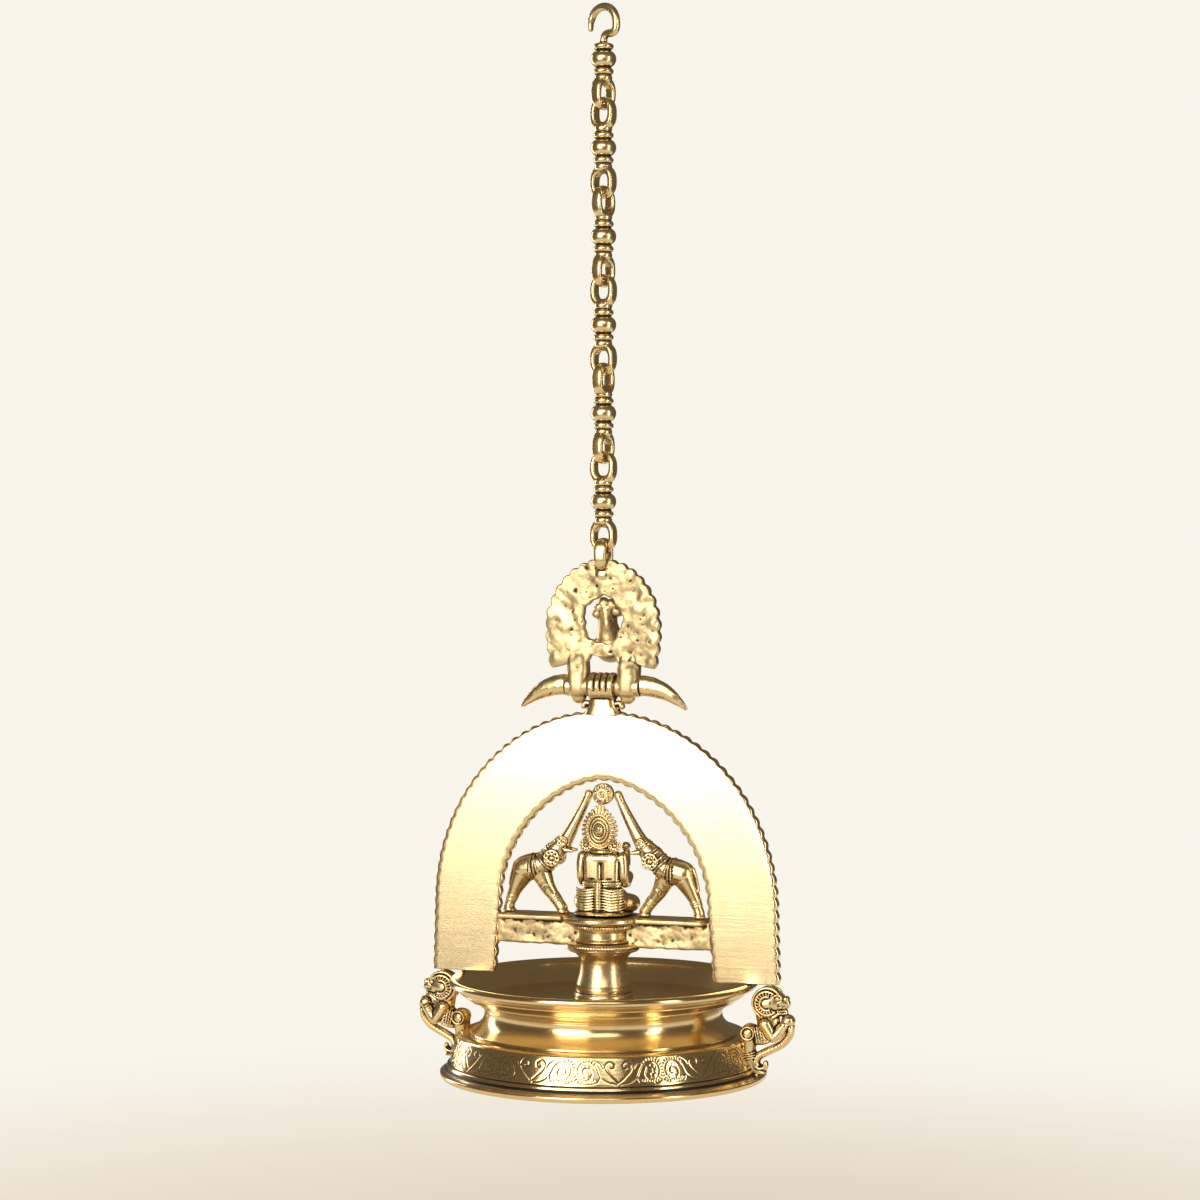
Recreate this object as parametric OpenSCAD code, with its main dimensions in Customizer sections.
// Hanging chain oil lamp in cast brass.
// A hook and six cast links carry a peacock finial, and the finial's bar carries the lamp: an arch
// with a seated figure and two elephants on a shelf, over a round oil bowl on a turned base.
// Origin: where the hook's bend sits on whatever holds it. +Z is up, and the figure faces +Y.

/* [Hook] */
// Diameter of the hook's rod
hook_rod_d = 4; // [3.6:0.1:5]
// Clear diameter inside the hook's bend
hook_bend_d = 13; // [12:0.5:20]

/* [Chain] */
// Diameter of the bar that an eye is made of
eye_bar_d = 3.2; // [2.8:0.1:3.6]
// Outer width of an eye
eye_w = 14.4; // [13.4:0.1:16]
// Outer height of an eye
eye_h = 16.4; // [15.6:0.1:18]
// Straight length at the top and bottom of an eye
eye_flat = 2; // [1.6:0.1:3]
// Depth of an eye through its two thick sides
cheek_d = 5.6; // [4.4:0.1:6]
// Overall length of one link, over both eyes
link_len = 51.4; // [48:0.2:60]
// Diameter of the large bead in the middle of a link
bead_d = 13; // [11:0.2:15]
// Diameter of the ring mouldings beside the bead
ring_d = 10.4; // [9:0.2:11]
// Play between two eyes that hang in each other
link_play = 0.35; // [0.3:0.05:0.6]
// Turn of the lowest link about the chain, away from square to the lamp
chain_turn = 12; // [0:1:14]
// Further turn from each link to the one above it
chain_twist = 2; // [0:0.5:3]

/* [Peacock] */
// Width of the tail fan
fan_w = 62; // [54:0.5:70]
// Height of the tail fan
fan_h = 57; // [54:0.5:64]
// Thickness of the tail fan
fan_t = 5; // [4:0.25:6]
// Lobes round the top of the fan
fan_lobes = 17; // [12:1:24]
// Depth of the fan's lobes
fan_lobe = 1.2; // [0.6:0.1:1.6]
// Width across both wing tips
wing_span = 90; // [76:1:100]
// How far a wing tip hangs below the bar
wing_drop = 10; // [6:0.5:13]
// Diameter of the bar that the lamp hangs on
bar_d = 7; // [6:0.25:8]
// Clear length of the bar between the two lugs
bar_clear = 15; // [14.2:0.2:18]
// Height of the bar above the crown of the arch
bar_rise = 12; // [11.5:0.25:14]

/* [Arch] */
// Outer width of the arch at its springing
arch_w = 185; // [182:1:195]
// Height of the arch's springing above its feet
leg_h = 35.4; // [34.4:0.2:40]
// Rise of the outer curve above the springing
arch_rise = 100; // [97:0.5:110]
// Width of the opening at the springing
opening_w = 110; // [107:1:116]
// Rise of the opening above the springing
opening_rise = 64; // [63.5:0.5:70]
// Thickness of the arch plate
arch_t = 4; // [3.6:0.2:7]
// Height of the raised borders on the front
border_t = 1.4; // [1:0.2:3]
// Width of the raised borders
border_w = 4; // [3:0.25:6]
// Lobes along the outer curve
outer_lobes = 46; // [36:1:52]
// Lobes along the opening
inner_lobes = 30; // [24:1:34]
// Depth of the lobes
lobe_depth = 1; // [0.4:0.1:1.4]
// Width of the loop on the crown
loop_w = 13; // [11:0.25:13.5]
// Wall of the loop round the bar
loop_wall = 3.8; // [3:0.1:4.2]

/* [Shelf and figures] */
// Height of the shelf's top above the arch's feet
shelf_h = 31; // [27:0.5:31.5]
// Overall depth of the shelf, top to bottom
shelf_d = 16; // [13:0.5:18]
// Thickness of the shelf's ledge
ledge_t = 3.5; // [2.5:0.25:5]
// Width of the ledge, front to back
ledge_w = 19; // [16:0.5:22]
// Thickness of the shelf's web
web_t = 2.4; // [1.8:0.1:2.8]
// Diameter of the seat's top plate
seat_d = 42; // [40:0.5:44]
// Height of the seated figure
figure_h = 55.5; // [50:0.5:55.5]
// Height of an elephant's forehead above the shelf
elephant_h = 41; // [37:0.5:41]
// Diameter of the water pot
pot_d = 11; // [9:0.25:11.5]

/* [Pillar, bowl and base] */
// Diameter at the foot of the pillar
pillar_foot_d = 30; // [26:0.5:34]
// Diameter at the waist of the pillar
pillar_waist_d = 24; // [21:0.5:26]
// Diameter of the ribbed collar on the pillar
collar_d = 37; // [34:0.5:40]
// Thickness of the ribbed collar
collar_t = 4.5; // [3.5:0.25:5]
// How far the bowl's rim lies inside the edge of the base
rim_inset = 4.5; // [3:0.5:8]
// Height of the bowl from the drum to its rim
bowl_h = 14; // [12:0.5:18]
// Wall and floor thickness of the bowl
bowl_wall = 3; // [2.5:0.25:4]
// Diameter of the rolled rim
rim_bead_d = 4; // [3.2:0.2:5]
// How far the drum's wall lies inside the edge of the base
drum_inset = 21; // [17:0.5:26]
// Height of the drum
drum_h = 13.5; // [11:0.5:18]
// Wall thickness of the drum
drum_wall = 5; // [4:0.25:8]
// How far the drum's foot spreads beyond its top
drum_flare = 6; // [3:0.5:8]
// How far the drum draws in at its waist
drum_waist = 2; // [0.5:0.25:2.5]
// Diameter of the base over its flange
base_d = 166; // [164:1:172]
// Height of the flange
flange_h = 6.5; // [5:0.25:8]
// Width of the flange outside the band's foot
flange_w = 4.5; // [4.5:0.1:7]
// How far the band leans in between its foot and its top
band_lean = 4.5; // [1:0.5:8]
// Height of the engraved band
band_h = 15.5; // [14:0.5:19]
// Wall and top plate thickness of the base
base_wall = 3.5; // [3:0.25:4.5]
// Diameter of the stud that holds pillar, bowl, drum and base together
stud_d = 6; // [5:0.25:6.5]
// Diameter of the dowels in the guardian beasts
dowel_d = 2.4; // [2:0.1:2.8]

/* [Hidden] */
// Diameters of the bowl and the base that follow the base's own
rim_d = base_d - 2 * rim_inset;
drum_d = base_d - 2 * drum_inset;
band_foot_d = base_d - 2 * flange_w;
band_top_d = band_foot_d - 2 * band_lean;
// Clearance between pieces that seat in each other
seat_gap = 0.05;
// Radial clearance of the bar in the loop
bar_play = 0.08;
// Gap between the arch's feet and the bowl's rim
foot_gap = 0.5;
// Facets round a modelled limb
limb_facets = 14;
$fn = 64;

// Chain
link_count = 5;
eye_bar_r = eye_bar_d / 2;
eye_half_w = eye_w / 2 - eye_bar_r;
eye_mid_h = eye_h - eye_bar_d;
eye_corner = eye_half_w - eye_flat / 2;
link_reach = link_len - eye_bar_d;
eye_step = eye_bar_d + link_play;
link_pitch = link_reach - eye_step;
shaft_half = link_reach / 2 - eye_mid_h + eye_bar_r * 0.4;
shaft_core = eye_bar_d * 0.95;
shaft_bead_t = shaft_half * 0.36;
shaft_ring_t = shaft_half * 0.14;
shaft_ring_at = shaft_bead_t + shaft_ring_t * 1.3;
shaft_collar_at = shaft_half - shaft_ring_t * 1.2;

// Hook: a half ring, a straight side and a crank that brings the rod back under the hanging point
hook_r = (hook_bend_d + hook_rod_d) / 2;
hook_cross = 2;
hook_crank = (hook_r - hook_cross) / 2;
hook_side = 2;
hook_drop = hook_bend_d / 2 + hook_side + 2 * hook_crank;
hook_neck = 1.5;
// The shank's top is this much wider than the rod, and covers its foot by as much
hook_lip = 0.4;
hook_shank = shaft_ring_at + shaft_ring_t + hook_neck;
first_pivot = -hook_drop - hook_shank - link_reach / 2;
function pivot_z(n) = first_pivot - n * link_pitch;
function turn_of(n) = -chain_turn - (link_count - n) * chain_twist + (n % 2 == 0 ? 90 : 0);

// Heights in the lamp, counted from the underside of the base
drum_z = flange_h + band_h;
bowl_z = drum_z + drum_h;
floor_z = bowl_z + bowl_wall;
rim_z = bowl_z + bowl_h;
feet_z = rim_z + foot_gap;
spring_z = feet_z + leg_h;
crown_z = spring_z + arch_rise;
crown_flat_z = crown_z - 2;
shelf_z = feet_z + shelf_h;
collar_z = shelf_z - shelf_d - 2;
pot_z = spring_z + opening_rise - lobe_depth - pot_d / 2;
bar_z = crown_z + bar_rise;
bar_bore = bar_d / 2 + bar_play;
loop_r = bar_bore + loop_wall;
lug_w = 8;
lug_t = fan_t + 2.5;
lug_r = bar_d / 2 + 1.6;
fan_z = bar_z + 8;
fan_top = fan_z + fan_h;
boss_w = 10;
boss_h = 6;
hanger_z = fan_top - 5;
boss_z = hanger_z - boss_h;
ring_z = hanger_z + eye_mid_h;
base_z = pivot_z(link_count) + eye_step - ring_z;

// Fixings
stud_r = stud_d / 2;
stud_grip = 16;
stud_hole = stud_r + 0.2;
washer_t = 1.6;
washer_r = stud_d * 1.8;
nut_h = stud_d * 0.8;
nut_r = stud_d * 0.95;
plate_z = drum_z - base_wall;
spigot_r = pillar_waist_d / 2 - 4;
spigot_top = shelf_z - 5;
tenon_l = 4;
dowel_grip = 4.5;
dowel_x = base_d / 2 + 5;
foot_dowel_x = band_foot_d / 2 + dowel_d / 2 + 0.7;

brass = "#c69a45";
bright_brass = "#d9b25f";
dark_brass = "#8a6428";

// Places a piece that is drawn from the underside of the base
module in_lamp() {
    translate([0, 0, base_z]) children();
}

// One rounded end of a limb, from [x, y, z, radius]
module knob(p) {
    translate([p[0], p[1], p[2]]) sphere(r = p[3], $fn = limb_facets);
}

// A limb through [x, y, z, radius] points, as rounded lengths end to end
module limb(points) {
    for (i = [0 : len(points) - 2])
        hull() {
            knob(points[i]);
            knob(points[i + 1]);
        }
}

// A leg with a flat sole at z = 0 under its last point
module leg(points) {
    last = points[len(points) - 1];
    limb(points);
    hull() {
        knob(last);
        translate([last[0], last[1], 0]) cylinder(r = last[3] * 1.1, h = 1, $fn = limb_facets);
    }
}

// An egg-shaped mass with its half sizes given
module egg(centre, half) {
    hull() translate(centre) scale(half) sphere(r = 1, $fn = limb_facets);
}

// Point on a curve through three handles
function bend(a, b, c, t) = (1 - t) * (1 - t) * a + 2 * t * (1 - t) * b + t * t * c;

// A moulding on a turned outline: a round bead of that outer diameter, centred on a height
module bead(d, half_t, z) {
    translate([d / 2 - half_t, z]) circle(r = half_t);
    translate([0, z - half_t]) square([d / 2 - half_t, 2 * half_t]);
}

// A quarter ring of round bar about the origin, in the XZ plane
module bar_quarter(bend_r, bar_r, start) {
    rotate([90, 0, 0]) rotate([0, 0, start])
        rotate_extrude(angle = 90) translate([bend_r, 0]) circle(r = bar_r);
}

// An eye in the XZ plane: four round corners and four straight bars, its lowest bar on the origin
module eye() {
    side = eye_mid_h - 2 * eye_corner;
    for (s = [-1, 1]) {
        translate([s * eye_half_w, 0, eye_corner]) cylinder(r = eye_bar_r, h = side);
        translate([s * eye_flat / 2, 0, eye_corner]) bar_quarter(eye_corner, eye_bar_r, s > 0 ? 270 : 180);
        translate([s * eye_flat / 2, 0, eye_corner + side])
            bar_quarter(eye_corner, eye_bar_r, s > 0 ? 0 : 90);
    }
    for (z = [0, eye_mid_h])
        translate([-eye_flat / 2, 0, z]) rotate([0, 90, 0]) cylinder(r = eye_bar_r, h = eye_flat);
    for (s = [-1, 1])
        translate([s * eye_half_w - eye_bar_r * 0.85, 0, eye_mid_h / 2]) rotate([90, 0, 90])
            linear_extrude(height = eye_bar_r * 1.7)
                polygon([for (a = [15 : 30 : 345]) [cheek_d / 2 * cos(a), eye_mid_h * 0.44 * sin(a)]]);
}

// The hook: an eye, a collar and a rod that cranks out, over and down to its tip
module hanging_hook() {
    rod_r = hook_rod_d / 2;
    bend_z = -hook_bend_d / 2;
    color(brass) rotate([0, 0, turn_of(0) - 90]) {
        translate([0, 0, first_pivot]) rotate([0, 0, 90]) eye();
        translate([0, 0, first_pivot + link_reach / 2]) rotate_extrude()
            polygon(concat(shaft_lower(), shaft_ring(), [[rod_r + hook_lip, hook_shank - hook_neck],
                [rod_r + hook_lip, hook_shank + hook_lip], [0, hook_shank + hook_lip]]));
        translate([hook_crank, 0, -hook_drop]) bar_quarter(hook_crank, rod_r, 90);
        translate([hook_crank, 0, -hook_drop + hook_crank]) rotate([0, 90, 0])
            cylinder(r = rod_r, h = hook_cross);
        translate([hook_crank + hook_cross, 0, bend_z - hook_side]) bar_quarter(hook_crank, rod_r, 270);
        translate([hook_r, 0, bend_z - hook_side]) cylinder(r = rod_r, h = hook_side);
        translate([0, 0, bend_z]) {
            bar_quarter(hook_r, rod_r, 0);
            bar_quarter(hook_r, rod_r, 90);
            translate([-hook_r, 0, -hook_side]) cylinder(r1 = rod_r * 0.6, r2 = rod_r, h = hook_side);
        }
    }
}

// Points of a round bead on a turned outline, from its lower edge to its upper one
function round_bead(d, half_t, z) =
    [for (a = [-75 : 25 : 75]) [d / 2 - half_t * (1 - cos(a)), z + half_t * sin(a)]];

// Half outline of a link's shaft: a large bead between two rings and two collars
function shaft_lower() = concat([[0, -shaft_half], [shaft_core, -shaft_half]],
    round_bead(ring_d * 0.86, shaft_ring_t * 1.2, -shaft_collar_at), [[shaft_core,
        -shaft_collar_at + shaft_ring_t * 1.2]],
    [[shaft_core, -shaft_ring_at - shaft_ring_t]], round_bead(ring_d, shaft_ring_t, -shaft_ring_at),
    round_bead(bead_d, shaft_bead_t, 0));
function shaft_ring() = round_bead(ring_d, shaft_ring_t, shaft_ring_at);
module link_shaft() {
    polygon(concat(shaft_lower(), shaft_ring(), [[shaft_core, shaft_ring_at + shaft_ring_t]],
        [[shaft_core, shaft_collar_at - shaft_ring_t * 1.2]],
            round_bead(ring_d * 0.86, shaft_ring_t * 1.2, shaft_collar_at),
        [[shaft_core, shaft_half], [0, shaft_half]]));
}

// Link number n, counted from the hook; each one is a quarter turn from the one above
module chain_link(n) {
    color(n % 2 == 1 ? brass : bright_brass)
        translate([0, 0, pivot_z(n) + link_reach / 2]) rotate([0, 0, turn_of(n)]) {
            for (s = [0, 1]) mirror([0, 0, s])
                translate([0, 0, link_reach / 2 - eye_mid_h]) eye();
            rotate_extrude() link_shaft();
        }
}

module chain_link_1() { chain_link(1); }
module chain_link_2() { chain_link(2); }
module chain_link_3() { chain_link(3); }
module chain_link_4() { chain_link(4); }
module chain_link_5() { chain_link(5); }

// Hanger on top of the fan: an eye across the fan on a block that sits in the fan's notch
module peacock_hanger() {
    color(brass) in_lamp() {
        translate([0, 0, hanger_z]) rotate([0, 0, 90]) eye();
        translate([-boss_w / 2, -fan_t / 2 - 1, boss_z]) cube([boss_w, fan_t + 2, boss_h]);
    }
}

// Outline of the fan, its foot on the origin: two lobed sides under a lobed arc, and a hollow underside
function fan_side(s) = [for (i = [0 : 12])
    let(t = i / 12)
    [s * (fan_w / 2 * (0.92 + 0.08 * sin(90 * t))
        - fan_lobe * (1 - abs(sin(540 * t)))), fan_h * (0.02 + 0.34 * t)]];
function fan_arc() = [for (i = [1 : fan_lobes * 4 - 1])
    let(a = 180 * i / (fan_lobes * 4), in = fan_lobe * (1 - abs(sin(45 * i))))
    [(fan_w / 2 - in) * cos(a), fan_h * 0.36 + (fan_h * 0.64 - in) * sin(a)]];
function fan_outline() = concat([[fan_w * 0.28, fan_h * 0.07]], fan_side(1), fan_arc(),
    [for (i = [12 : -1 : 0]) fan_side(-1)[i]], [[-fan_w * 0.28, fan_h * 0.07]]);

// Tail fan: a window that the neck shows through, a notch for the hanger and two lugs for the bar
module peacock_tail_fan() {
    window_w = fan_w * 0.175;
    window_h = fan_h * 0.21;
    gap_h = fan_h * 0.14;
    color(bright_brass) in_lamp() difference() {
        union() {
            translate([0, fan_t / 2, fan_z]) rotate([90, 0, 0]) linear_extrude(height = fan_t)
                difference() {
                polygon(fan_outline());
                translate([0, fan_h * 0.45])
                    polygon([for (i = [0 : 39]) [window_w * cos(i * 9), window_h * sin(i * 9)]]);
                translate([-bar_clear / 2, -fan_h]) square([bar_clear, fan_h + gap_h]);
                translate([-boss_w / 2 - seat_gap, boss_z - seat_gap - fan_z])
                    square([boss_w + 2 * seat_gap, fan_h]);
            }
            for (s = [-1, 1]) translate([s > 0 ? bar_clear / 2 : -bar_clear / 2 - lug_w, 0, bar_z]) {
                rotate([0, 90, 0]) cylinder(r = lug_r, h = lug_w);
                translate([0, -lug_t / 2, 0]) cube([lug_w, lug_t, fan_z - bar_z + fan_h * 0.16]);
            }
        }
        translate([-fan_w, 0, bar_z]) rotate([0, 90, 0]) cylinder(r = bar_d / 2 + seat_gap, h = 2 * fan_w);
    }
}

// Peacock: breast, neck, head, beak and crest in front of the window
module peacock_body() {
    k = fan_h / 57;
    front = fan_t / 2 + seat_gap;
    color(brass) in_lamp() translate([0, front, fan_z]) difference() {
        union() {
            egg([0, 7 * k, 12 * k], [8 * k, 9 * k, 7.5 * k]);
            limb([[0, 10 * k, 13 * k, 6.4 * k], [0, 8 * k, 19 * k, 5 * k], [0, 5.2 * k, 25 * k, 3.8 * k],
                [0, 5 * k, 30 * k, 4.4 * k], [0, 9.6 * k, 30 * k, 2 * k], [0, 13 * k, 28.6 * k, 0.7 * k]]);
            for (a = [-30, 0, 30])
                limb([[0, 4.4 * k, 33 * k, 1.2 * k],
                    [sin(a) * 4 * k, 3.4 * k, (32 + 4 * cos(a)) * k, 1.3 * k]]);
        }
        translate([-20 * k, -40 * k, -20 * k]) cube([40 * k, 40 * k, 80 * k]);
    }
}

// A wing on the right: a horn that bends down from the lug to its tip, bored for the end of the bar
module peacock_wing() {
    root = [bar_clear / 2 + lug_w + lug_r * 0.6, 0, bar_z];
    top = [wing_span * 0.34, 0, bar_z + 3];
    tip = [wing_span / 2 - 1, 0, bar_z - wing_drop];
    root_x = bar_clear / 2 + lug_w + seat_gap;
    difference() {
        union() {
            for (i = [0 : 8])
                hull() for (t = [i / 9, (i + 1) / 9]) {
                    p = bend(root, top, tip, t);
                    translate(p) scale([1, 0.72, 1])
                        sphere(r = lug_r * (1 - t * t) + t * t, $fn = limb_facets);
                }
            translate([root_x, 0, bar_z]) rotate([0, 90, 0]) cylinder(r = lug_r, h = lug_r, $fn = 28);
        }
        translate([root_x - 20, -20, bar_z - 20]) cube([20, 40, 40]);
        translate([root_x - 1, 0, bar_z]) rotate([0, 90, 0])
            cylinder(r = bar_d / 2 + seat_gap, h = 1 + tenon_l + seat_gap);
    }
}

module peacock_wing_left() {
    color(brass) in_lamp() mirror([1, 0, 0]) peacock_wing();
}

module peacock_wing_right() {
    color(brass) in_lamp() peacock_wing();
}

// Bar through both lugs and into the wings; the arch's loop turns on it
module peacock_bar() {
    half = bar_clear / 2 + lug_w + tenon_l;
    color(dark_brass) in_lamp() translate([-half, 0, bar_z]) rotate([0, 90, 0])
        cylinder(d = bar_d, h = 2 * half);
}

// Loop on the crown: four ribs round the bar, a neck and a tenon into the arch plate
module arch_loop() {
    groove = 1;
    rib = (loop_w - 3 * groove) / 4;
    neck_t = arch_t + border_t;
    color(brass) in_lamp() difference() {
        union() {
            translate([-loop_w / 2, 0, bar_z]) rotate([0, 90, 0]) {
                cylinder(r = loop_r - 0.8, h = loop_w);
                for (i = [0 : 3]) translate([0, 0, i * (rib + groove)]) cylinder(r = loop_r, h = rib);
            }
            translate([-loop_w / 2, -arch_t / 2, crown_flat_z])
                cube([loop_w, neck_t, bar_z - crown_flat_z]);
            translate([-loop_w / 2 + 3, -arch_t / 4, crown_flat_z - 6]) cube([loop_w - 6, arch_t / 2, 7]);
        }
        translate([-loop_w, 0, bar_z]) rotate([0, 90, 0]) cylinder(r = bar_bore, h = 2 * loop_w);
    }
}

// Point on one of the arch's curves, for a turn from 0 (right springing) to 180 (left springing)
function arch_point(half, rise, power, a, out) =
    [sign(cos(a)) * half * pow(abs(cos(a)), power) + out * cos(a), rise * sin(a) + out * sin(a)];

// One curve of the arch from the right foot over the crown to the left foot, with lobes of that depth
function arch_curve(half, rise, power, foot, lobes, depth, steps) = concat(
    [[foot, -leg_h]],
    [for (i = [0 : lobes * steps])
        let(a = 180 * i / (lobes * steps))
        arch_point(half, rise, power, a, -depth * (1 - abs(sin(180 * i / steps))))],
    [[-foot, -leg_h]]);

// A flat band of the arch between two curves
module arch_band(outer, inner) {
    polygon(concat(outer, [for (i = [len(inner) - 1 : -1 : 0]) inner[i]]));
}

// Arch plate: lobed outside and inside, raised borders in front, mortises for the loop and the shelf
module arch_plate() {
    half = arch_w / 2;
    inside = opening_w / 2;
    outer_foot = half + 1;
    inner_foot = inside + 3;
    edge = border_w + lobe_depth;
    outer = arch_curve(half, arch_rise, 1, outer_foot, outer_lobes, lobe_depth, 4);
    inner = arch_curve(inside, opening_rise, 1.2, inner_foot, inner_lobes, lobe_depth, 4);
    outer_a = arch_curve(half - lobe_depth - 0.5, arch_rise - lobe_depth - 3, 1,
        outer_foot - lobe_depth - 0.5, 60, 0, 2);
    outer_b = arch_curve(half - edge, arch_rise - edge - 2.5, 1, outer_foot - edge, 60, 0, 2);
    inner_a = arch_curve(inside + edge, opening_rise + edge, 1.15, inner_foot + edge, 60, 0, 2);
    inner_b = arch_curve(inside + lobe_depth, opening_rise + lobe_depth, 1.2, inner_foot + lobe_depth,
        60, 0, 2);
    web_z = shelf_z - shelf_d;
    color(bright_brass) in_lamp() difference() {
        union() {
            translate([0, arch_t / 2, spring_z]) rotate([90, 0, 0]) linear_extrude(height = arch_t)
                arch_band(outer, inner);
            translate([0, arch_t / 2 + border_t, spring_z]) rotate([90, 0, 0]) {
                linear_extrude(height = border_t) arch_band(outer_a, outer_b);
                linear_extrude(height = border_t) arch_band(inner_a, inner_b);
            }
        }
        translate([-loop_w / 2 - 1, -20, crown_flat_z]) cube([loop_w + 2, 40, 20]);
        translate([-loop_w / 2 + 3 - seat_gap, -arch_t / 4 - seat_gap, crown_flat_z - 6 - seat_gap])
            cube([loop_w - 6 + 2 * seat_gap, arch_t / 2 + 2 * seat_gap, 10]);
        translate([-inside - tenon_l, -web_t / 2 - seat_gap, web_z - seat_gap])
            cube([2 * inside + 2 * tenon_l, web_t + 2 * seat_gap, shelf_d - ledge_t + 2 * seat_gap]);
        for (s = [-1, 1]) translate([s * dowel_x, 0, feet_z - 1])
            cylinder(d = dowel_d + 2 * seat_gap, h = dowel_grip + 1 + seat_gap);
    }
}

// Half of the shelf on the right: a ledge on a web, tenoned into the arch's leg
module shelf_half() {
    inside = opening_w / 2;
    ledge_end = inside - 0.2;
    color(bright_brass) in_lamp() difference() {
        union() {
            translate([0, -ledge_w / 2, shelf_z - ledge_t]) cube([ledge_end, ledge_w, ledge_t]);
            translate([0, -web_t / 2, shelf_z - shelf_d])
                cube([inside + tenon_l - seat_gap, web_t, shelf_d - ledge_t]);
        }
        translate([0, 0, shelf_z - 40]) cylinder(r = seat_d / 2 + seat_gap, h = 80);
    }
}

module shelf_left() {
    mirror([1, 0, 0]) shelf_half();
}

module shelf_right() {
    shelf_half();
}

// Seat: a waisted drum with a bead under its top plate, bored for the pillar's spigot
module figure_seat() {
    low = collar_z + collar_t;
    high = shelf_z - low;
    color(brass) in_lamp() translate([0, 0, low]) difference() {
        rotate_extrude() {
            square([seat_d * 0.33, high]);
            bead(seat_d * 0.84, 2.2, high - 5.2);
            translate([0, high - 3]) square([seat_d / 2, 3]);
        }
        translate([0, 0, -1]) cylinder(r = spigot_r + seat_gap, h = spigot_top - low + 1 + seat_gap);
    }
}

// Seated figure: folded legs on a cushion, a torso with four arms, and a tall tiered crown
module seated_figure() {
    k = figure_h / 55.5;
    color(bright_brass) in_lamp() translate([0, 0, shelf_z]) scale(k) {
        hull() {
            cylinder(r = 14, h = 1, $fn = 28);
            translate([0, 0, 2]) cylinder(r = 15, h = 1, $fn = 28);
        }
        egg([0, -0.5, 9], [14, 8.4, 9]);
        for (s = [-1, 1]) {
            limb([[s * 9, 1, 7, 5.4], [s * 13, 6.5, 6.2, 4.4], [s * 5, 12, 5.4, 3.4],
                [-s * 5, 12.5, 5, 2.6]]);
            limb([[s * 10.8, -0.4, 29, 3.6], [s * 11.4, -0.8, 20, 3.1], [s * 11.2, 5, 16.8, 2.5],
                [s * 10.4, 10, 19.6, 2.2]]);
            limb([[s * 8.4, 1, 29, 3.2], [s * 9.8, 6, 25.8, 2.4], [s * 9.2, 9.4, 30, 2],
                [s * 8.8, 9.8, 34.4, 2.6]]);
            knob([s * 6.4, 0, 37.4, 2.2]);
        }
        egg([0, 0, 18.4], [9.6, 6, 5]);
        egg([0, 0.2, 25.8], [12, 6.6, 7.4]);
        limb([[0, 0, 31, 4], [0, 0.5, 36, 3.4]]);
        egg([0, 0.8, 40.4], [5.6, 5.4, 6]);
        limb([[0, 0.2, 44, 5.4], [0, 0, 47.6, 4.4], [0, 0, 51.2, 2.8], [0, 0, 54.3, 1.2]]);
    }
}

// Disc behind the head, in three stepped ovals with a boss
module head_disc() {
    k = figure_h / 55.5;
    color(brass) in_lamp() translate([0, -5.8 * k, shelf_z + 44 * k]) rotate([90, 0, 0]) {
        for (step = [[7.2, 9.6, 1.2], [5.2, 7.2, 1.9], [3, 4.4, 2.5]])
            linear_extrude(height = step[2] * k)
                polygon([for (a = [0 : 9 : 351]) [step[0] * k * cos(a), step[1] * k * sin(a)]]);
        translate([0, 0, 2.4 * k]) sphere(r = 1.6 * k);
    }
}

// Elephant on the right of the figure, facing it: a slim casting with its trunk raised to the pot
module elephant() {
    k = elephant_h / 41;
    brow = [19.6 * k, 0, 38 * k];
    lift = [13.5 * k, 0, 50 * k];
    tip = [pot_d / 2 + 2.3, 0, pot_z - shelf_z + 1];
    color(brass) in_lamp() translate([0, 0, shelf_z]) {
        limb([[41.5 * k, 0, 23 * k, 6.8 * k], [38 * k, 0, 23.7 * k, 7.2 * k],
            [33.5 * k, 0, 24 * k, 6.8 * k],
            [29 * k, 0, 28.5 * k, 6 * k], [25 * k, 0, 32.5 * k, 6 * k], [20.6 * k, 0, 37 * k, 3.8 * k]]);
        for (i = [0 : 5])
            hull() for (t = [i / 6, (i + 1) / 6]) {
                p = bend(brow, lift, tip, t);
                translate(p) sphere(r = 3.3 * k * (1 - t) + 2.1 * t, $fn = limb_facets);
            }
        leg([[33 * k, 0, 20 * k, 5 * k], [29.6 * k, 0, 13 * k, 3.6 * k],
            [24.6 * k, 0, 6.5 * k, 2.8 * k], [22 * k, 0, 3 * k, 2.8 * k]]);
        leg([[43.4 * k, 0, 19 * k, 5.2 * k], [47 * k, 0, 12.5 * k, 3.6 * k],
            [50 * k, 0, 6 * k, 2.7 * k], [51 * k, 0, 3 * k, 2.7 * k]]);
        for (s = [-1, 1]) {
            hull() {
                translate([26 * k, s * 5.2 * k, 29 * k]) scale([4, 1.4, 4.4] * k)
                    sphere(r = 1, $fn = limb_facets);
                translate([26 * k, s * 3 * k, 31 * k]) scale([3, 1.4, 3.4] * k)
                    sphere(r = 1, $fn = limb_facets);
            }
            knob([20.8 * k, s * 2.6 * k, 37.6 * k, 2.2 * k]);
            limb([[20 * k, s * 2.6 * k, 33.4 * k, 1.4 * k], [16 * k, s * 3.2 * k, 33 * k, 0.8 * k]]);
        }
        limb([[47 * k, 0, 25 * k, 1.5 * k], [49.4 * k, 0, 19 * k, 1.1 * k],
            [50 * k, 0, 14.5 * k, 1.3 * k]]);
    }
}

module elephant_left() {
    mirror([1, 0, 0]) elephant();
}

module elephant_right() {
    elephant();
}

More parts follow.
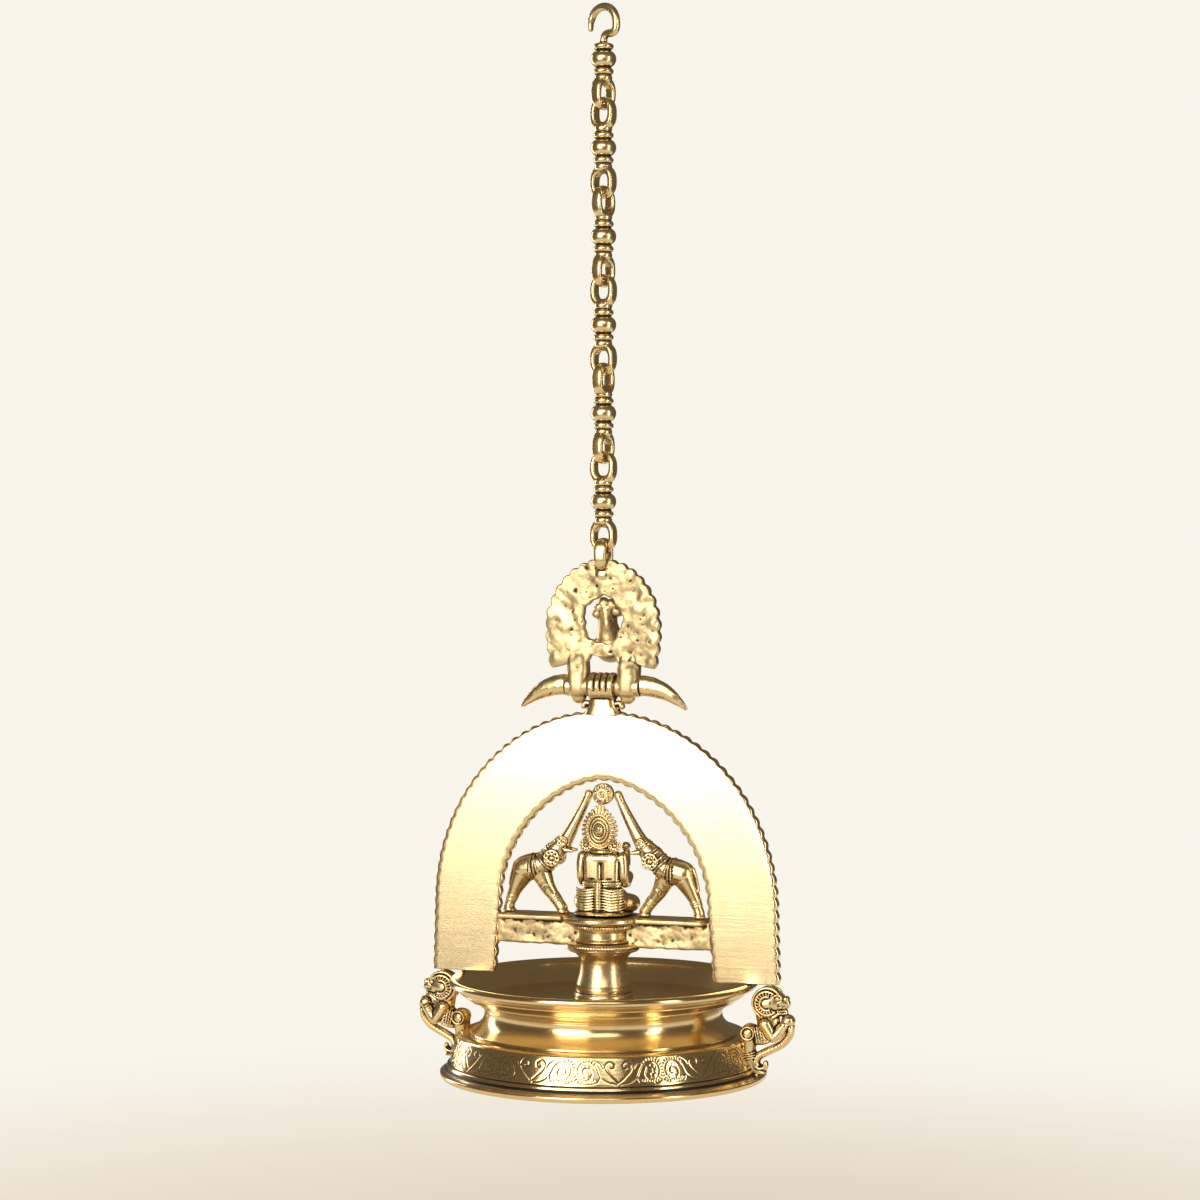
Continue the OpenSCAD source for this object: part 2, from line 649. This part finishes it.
// Water pot: a rosette on the back and a round pot in front
module water_pot() {
    r = pot_d / 2;
    color(bright_brass) in_lamp() translate([0, 0, pot_z]) rotate([90, 0, 0]) rotate_extrude() {
        translate([0, -r * 0.4]) square([r, r * 0.9]);
        intersection() {
            translate([0, r * 0.45]) circle(r = r * 0.4);
            square([r, r]);
        }
        intersection() {
            translate([0, -r * 0.5]) circle(r = r * 0.82);
            translate([0, -2 * r]) square([r, 2 * r]);
        }
    }
}

// Pillar: a spread foot, a waist, a flared head and a spigot up into the seat
module lamp_pillar() {
    h = collar_z - floor_z;
    foot = pillar_foot_d / 2;
    waist = pillar_waist_d / 2;
    color(brass) in_lamp() difference() {
        translate([0, 0, floor_z]) rotate_extrude() {
            polygon([[0, 0], [foot, 0], [foot, h * 0.1], [foot - 1.2, h * 0.16], [foot - 1, h * 0.3],
                [waist + 1, h * 0.5],
                [waist, h * 0.7], [waist + 0.4, h * 0.82], [waist + 3, h * 0.94], [waist + 3.6, h],
                    [0, h]]);
            square([spigot_r, spigot_top - floor_z]);
        }
        translate([0, 0, floor_z - 1]) cylinder(r = stud_r + seat_gap, h = stud_grip + 1.5);
    }
}

// Collar: a rounded disc on the pillar's shoulder
module pillar_collar() {
    color(bright_brass) in_lamp() translate([0, 0, collar_z]) difference() {
        rotate_extrude() bead(collar_d, collar_t / 2, collar_t / 2);
        translate([0, 0, -1]) cylinder(r = spigot_r + seat_gap, h = collar_t + 2);
    }
}

// Radius of the bowl's outside at a height from 0 (drum) to 1 (rim)
function bowl_r(t) = drum_d / 2 + (rim_d / 2 - rim_bead_d / 2 - drum_d / 2)
    * (0.25 * t + 0.75 * sin(90 * t));

// Bowl: a flat floor, a flared wall and a rolled rim
module oil_bowl() {
    rise = bowl_h - rim_bead_d / 2;
    color(bright_brass) in_lamp() translate([0, 0, bowl_z]) rotate_extrude() difference() {
        union() {
            polygon(concat([[0, 0]], [for (i = [0 : 10]) [bowl_r(i / 10), rise * i / 10]],
                [for (i = [10 : -1 : 0]) [bowl_r(i / 10) - bowl_wall, max(bowl_wall, rise * i / 10)]],
                    [[0, bowl_wall]]));
            translate([rim_d / 2 - rim_bead_d / 2, rise]) circle(d = rim_bead_d);
        }
        translate([-1, -1]) square([stud_hole + 1, bowl_wall + 2]);
    }
}

// Distance of the drum's side from the axis, for a share of its height: a spread foot below a waist
function drum_r(t) = drum_d / 2 - drum_waist + (drum_flare + drum_waist) * pow(1 - t, 3)
    + drum_waist * pow(t, 6);

// Drum: a waisted ring on a spread foot
module bowl_drum() {
    inner = drum_d / 2 - drum_wall;
    edge = 1.2;
    color(brass) in_lamp() translate([0, 0, drum_z]) rotate_extrude()
        polygon(concat([[inner, 0], [drum_r(0), 0]],
            [for (i = [0 : 12]) [drum_r(i / 12), edge + (drum_h - edge) * i / 12]],
            [[inner, drum_h]]));
}

// Base: a flange, the sloping band, and a top plate that the stud pulls up
module base_ring() {
    foot = band_foot_d / 2;
    top = band_top_d / 2;
    color(brass) in_lamp() difference() {
        rotate_extrude() polygon([[foot - base_wall, 0], [base_d / 2 - 1, 0], [base_d / 2, 1],
            [base_d / 2, flange_h - 1],
            [base_d / 2 - 1, flange_h], [foot, flange_h], [top, drum_z], [stud_hole, drum_z],
                [stud_hole, plate_z],
            [top - base_wall, plate_z]]);
        for (s = [-1, 1]) translate([s * foot_dowel_x, 0, flange_h - dowel_grip - seat_gap])
            cylinder(d = dowel_d + 2 * seat_gap, h = dowel_grip + 1);
    }
}

// Guardian beast on the right: it stands on the flange and holds up the arch's foot
module guardian() {
    k = (feet_z - flange_h) / 43.5;
    edge = base_d / 2;
    function at(p) = [edge + (p[0] - 83) * k, p[1] * k, flange_h + (p[2] - 6.5) * k, p[3] * k];
    function all(list) = [for (p = list) at(p)];
    color(brass) in_lamp() difference() {
        union() {
            limb(all([[86.4, 0, 41.4, 8.6], [88, 0, 31.5, 6.2], [85, 0, 25.4, 5.6], [79.6, 0, 24, 4.8]]));
            limb(all([[89.6, 0, 41.4, 6.2], [95.2, 0, 40.6, 3.6], [96, 0, 38.6, 2.6]]));
            for (s = [-1, 1]) {
                limb(all([[77.6, s * 2.8, 26, 4.2], [77, s * 3, 16.5, 3], [78.6, s * 2.6, 9, 2.8]]));
                limb(all([[88, s * 3, 31, 4], [90.4, s * 3.6, 24.4, 2.8], [95.4, s * 2.4, 30, 2.3]]));
                knob(at([91.6, s * 4.2, 44.4, 2.2]));
            }
            knob(at([97, 0, 32.2, 3.7]));
            limb(all([[99, 0, 28.4, 1.9], [94.4, 0, 20.2, 1.9], [87, 0, 15.6, 2], [81, 0, 12.6, 2.2],
                [80, 0, 9, 2.4],
                [84, 0, 8.4, 1.7]]));
            hull() {
                knob(at([80, 0, 9, 2.4]));
                translate([foot_dowel_x, 0, flange_h]) cylinder(r = 2.2, h = 1, $fn = limb_facets);
            }
        }
        translate([0, 0, flange_h - 40]) cylinder(r = base_d, h = 40 + seat_gap);
        translate([0, 0, feet_z - seat_gap]) cylinder(r = base_d, h = 40);
        translate([0, 0, flange_h]) cylinder(r1 = band_foot_d / 2 + 0.1, r2 = band_top_d / 2 + 0.1,
            h = band_h);
        translate([0, 0, bowl_z]) cylinder(r1 = drum_d / 2 + 4, r2 = rim_d / 2 + 0.3, h = bowl_h * 0.6);
        translate([0, 0, bowl_z + bowl_h * 0.59]) cylinder(r = rim_d / 2 + 0.3, h = bowl_h);
        translate([dowel_x, 0, feet_z - dowel_grip - seat_gap])
            cylinder(d = dowel_d + 2 * seat_gap, h = 20);
        translate([foot_dowel_x, 0, flange_h - 1])
            cylinder(d = dowel_d + 2 * seat_gap, h = dowel_grip + 1 + seat_gap);
    }
}

module guardian_left() {
    mirror([1, 0, 0]) guardian();
}

module guardian_right() {
    guardian();
}

// Dowels that pin each beast to the arch's foot above and the flange below
module guardian_dowels() {
    color(dark_brass) in_lamp() for (s = [-1, 1]) {
        translate([s * dowel_x, 0, feet_z - dowel_grip]) cylinder(d = dowel_d, h = 2 * dowel_grip);
        translate([s * foot_dowel_x, 0, flange_h - dowel_grip]) cylinder(d = dowel_d, h = 2 * dowel_grip);
    }
}

// Stud from the pillar down through bowl and base
module centre_stud() {
    low = plate_z - washer_t - nut_h - 2;
    color(dark_brass) in_lamp() translate([0, 0, low]) cylinder(d = stud_d, h = floor_z + stud_grip - low);
}

module centre_washer() {
    color(dark_brass) in_lamp() translate([0, 0, plate_z - washer_t]) difference() {
        cylinder(r = washer_r, h = washer_t);
        translate([0, 0, -1]) cylinder(r = stud_hole, h = washer_t + 2);
    }
}

module centre_nut() {
    color(dark_brass) in_lamp() translate([0, 0, plate_z - washer_t - nut_h]) difference() {
        cylinder(r = nut_r, h = nut_h, $fn = 6);
        translate([0, 0, -1]) cylinder(r = stud_r + seat_gap, h = nut_h + 2);
    }
}

hanging_hook();
chain_link_1();
chain_link_2();
chain_link_3();
chain_link_4();
chain_link_5();
peacock_hanger();
peacock_tail_fan();
peacock_body();
peacock_wing_left();
peacock_wing_right();
peacock_bar();
arch_loop();
arch_plate();
shelf_left();
shelf_right();
figure_seat();
seated_figure();
head_disc();
elephant_left();
elephant_right();
water_pot();
lamp_pillar();
pillar_collar();
oil_bowl();
bowl_drum();
base_ring();
guardian_left();
guardian_right();
guardian_dowels();
centre_stud();
centre_washer();
centre_nut();
